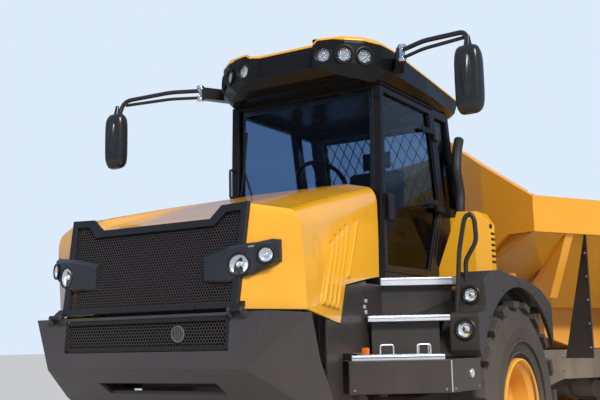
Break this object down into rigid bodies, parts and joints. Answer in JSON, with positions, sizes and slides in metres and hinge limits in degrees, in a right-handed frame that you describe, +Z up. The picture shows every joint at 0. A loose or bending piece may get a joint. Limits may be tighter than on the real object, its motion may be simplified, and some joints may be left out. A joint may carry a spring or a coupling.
{
  "type": "six-wheel articulated dump truck",
  "caption": "Articulated six-wheel dump truck, steered to its left, with a tipping body, an opening door, a tilting hood and jointed cylinders.",
  "frame": {"origin": "on the ground under the middle of the whole truck as it stands", "axes": "+X is the way the front module points, +Y its left, +Z up"},
  "size_m": [8.965, 5.1346, 3.3599],
  "materials": {
    "hood_yellow": "gloss",
    "body_yellow": "satin",
    "frame_grey": "satin",
    "bumper_grey": "matt",
    "black_plastic": "matt",
    "grey_plastic": "matt",
    "tinted_glass": "gloss",
    "lamp_glass": "gloss",
    "red_lens": "gloss",
    "tyre_rubber": "matt",
    "steel": "polished",
    "aluminium": "brushed",
    "engine_iron": "matt",
    "seat_fabric": "woven"
  },
  "bodies": {
    "front_module": {"front_frame": "frame_grey", "front_axle": "frame_grey", "engine": "engine_iron", "bumper": "bumper_grey", "bumper_grille": "black_plastic", "cab_shell": "black_plastic", "cab_glass": "tinted_glass", "cab_roof": "black_plastic", "roof_cap": "hood_yellow", "beacon_stub": "hood_yellow", "roof_lamps": "lamp_glass", "mirrors": "black_plastic", "cab_interior": "seat_fabric", "steps": "aluminium", "step_box": "black_plastic", "side_trim": "black_plastic", "fenders": "grey_plastic", "fender_lamps": "lamp_glass", "side_housing": "hood_yellow", "exhaust": "black_plastic", "handrails": "black_plastic"},
    "door": {"cab_door": "black_plastic", "door_glass": "tinted_glass"},
    "hood": {"hood": "hood_yellow", "hood_grille": "black_plastic", "headlamps": "grey_plastic", "headlamp_lenses": "lamp_glass"},
    "hitch": {"hitch": "frame_grey"},
    "rear_module": {"rear_frame": "frame_grey", "bogie_beams": "frame_grey", "rear_axles": "frame_grey", "tail_lamps": "red_lens"},
    "dump_body": {"dump_body": "body_yellow", "mud_plates": "black_plastic"},
    "tip_barrels": {"tip_barrels": "steel"},
    "tip_rods": {"tip_rods": "steel"},
    "wheel_front_left": {"tyre_front_left": "tyre_rubber", "rim_front_left": "body_yellow"},
    "wheel_front_right": {"tyre_front_right": "tyre_rubber", "rim_front_right": "body_yellow"},
    "wheel_mid_left": {"tyre_mid_left": "tyre_rubber", "rim_mid_left": "body_yellow"},
    "wheel_mid_right": {"tyre_mid_right": "tyre_rubber", "rim_mid_right": "body_yellow"},
    "wheel_rear_left": {"tyre_rear_left": "tyre_rubber", "rim_rear_left": "body_yellow"},
    "wheel_rear_right": {"tyre_rear_right": "tyre_rubber", "rim_rear_right": "body_yellow"},
    "steer_barrel_left": {"steer_barrel_left": "frame_grey"},
    "steer_rod_left": {"steer_rod_left": "steel"},
    "steer_barrel_right": {"steer_barrel_right": "frame_grey"},
    "steer_rod_right": {"steer_rod_right": "steel"}
  },
  "joints": [
    {"name": "steering", "type": "hinge", "parent": "front_module", "child": "hitch", "pos_m": [0.82846, -1.03926, 0.81], "axis": [0, 0, 1], "range_deg": [-17, 73]},
    {"name": "oscillation", "type": "hinge", "parent": "hitch", "child": "rear_module", "pos_m": [0.40906, -0.81627, 0.81], "axis": [0.8829, -0.4695, 0], "range_deg": [-15, 15]},
    {"name": "body_tip", "type": "hinge", "parent": "rear_module", "child": "dump_body", "pos_m": [-3.36554, 1.19073, 1], "axis": [-0.4695, -0.8829, 0], "range_deg": [0, 70]},
    {"name": "door_swing", "type": "hinge", "parent": "front_module", "child": "door", "pos_m": [1.85646, -0.39526, 2.3], "axis": [0, 0, 1], "range_deg": [0, 80]},
    {"name": "hood_tilt", "type": "hinge", "parent": "front_module", "child": "hood", "pos_m": [4.47346, -1.03926, 1.398], "axis": [0, 1, 0], "range_deg": [0, 55]},
    {"name": "wheel_front_left_spin", "type": "hinge", "parent": "front_module", "child": "wheel_front_left", "pos_m": [2.07846, 0.03274, 0.745], "axis": [0, 1, 0], "continuous": true},
    {"name": "wheel_front_right_spin", "type": "hinge", "parent": "front_module", "child": "wheel_front_right", "pos_m": [2.07846, -2.11126, 0.745], "axis": [0, 1, 0], "continuous": true},
    {"name": "wheel_mid_left_spin", "type": "hinge", "parent": "rear_module", "child": "wheel_mid_left", "pos_m": [-0.83149, 1.05746, 0.745], "axis": [0.4695, 0.8829, 0], "continuous": true},
    {"name": "wheel_mid_right_spin", "type": "hinge", "parent": "rear_module", "child": "wheel_mid_right", "pos_m": [-1.83804, -0.83558, 0.745], "axis": [0.4695, 0.8829, 0], "continuous": true},
    {"name": "wheel_rear_left_spin", "type": "hinge", "parent": "rear_module", "child": "wheel_rear_left", "pos_m": [-2.24421, 1.80862, 0.745], "axis": [0.4695, 0.8829, 0], "continuous": true},
    {"name": "wheel_rear_right_spin", "type": "hinge", "parent": "rear_module", "child": "wheel_rear_right", "pos_m": [-3.25075, -0.08442, 0.745], "axis": [0.4695, 0.8829, 0], "continuous": true},
    {"name": "tip_barrel_swing", "type": "hinge", "parent": "rear_module", "child": "tip_barrels", "pos_m": [-0.89329, -0.12379, 0.83], "axis": [-0.4695, -0.8829, 0], "range_deg": [-5.25, 0]},
    {"name": "tip_rod_slide", "type": "slide", "parent": "tip_barrels", "child": "tip_rods", "axis": [-0.8485, 0.4512, 0.2766], "range_m": [0, 1.06567]},
    {"name": "steer_barrel_left_swing", "type": "hinge", "parent": "front_module", "child": "steer_barrel_left", "pos_m": [1.92846, -0.55926, 0.92], "axis": [0, 0, 1], "range_deg": [-1.45, 6.24]},
    {"name": "steer_rod_left_slide", "type": "slide", "parent": "steer_barrel_left", "child": "steer_rod_left", "axis": [-0.9996, -0.029, 0], "range_m": [-0.12451, 0.53466]},
    {"name": "steer_barrel_right_swing", "type": "hinge", "parent": "front_module", "child": "steer_barrel_right", "pos_m": [1.92846, -1.51926, 0.92], "axis": [0, 0, 1], "range_deg": [-1.48, 6.37]},
    {"name": "steer_rod_right_slide", "type": "slide", "parent": "steer_barrel_right", "child": "steer_rod_right", "axis": [-0.993, 0.1182, 0], "range_m": [-0.53145, 0.12376]}
  ],
  "couplings": [
    {"joint": "tip_barrel_swing", "follows": "body_tip", "ratio": -0.075},
    {"joint": "tip_rod_slide", "follows": "body_tip", "m_per_rad": 0.87226},
    {"joint": "steer_barrel_left_swing", "follows": "steering", "ratio": 0.0855},
    {"joint": "steer_rod_left_slide", "follows": "steering", "m_per_rad": 0.41964},
    {"joint": "steer_barrel_right_swing", "follows": "steering", "ratio": 0.0873},
    {"joint": "steer_rod_right_slide", "follows": "steering", "m_per_rad": -0.41712}
  ]
}
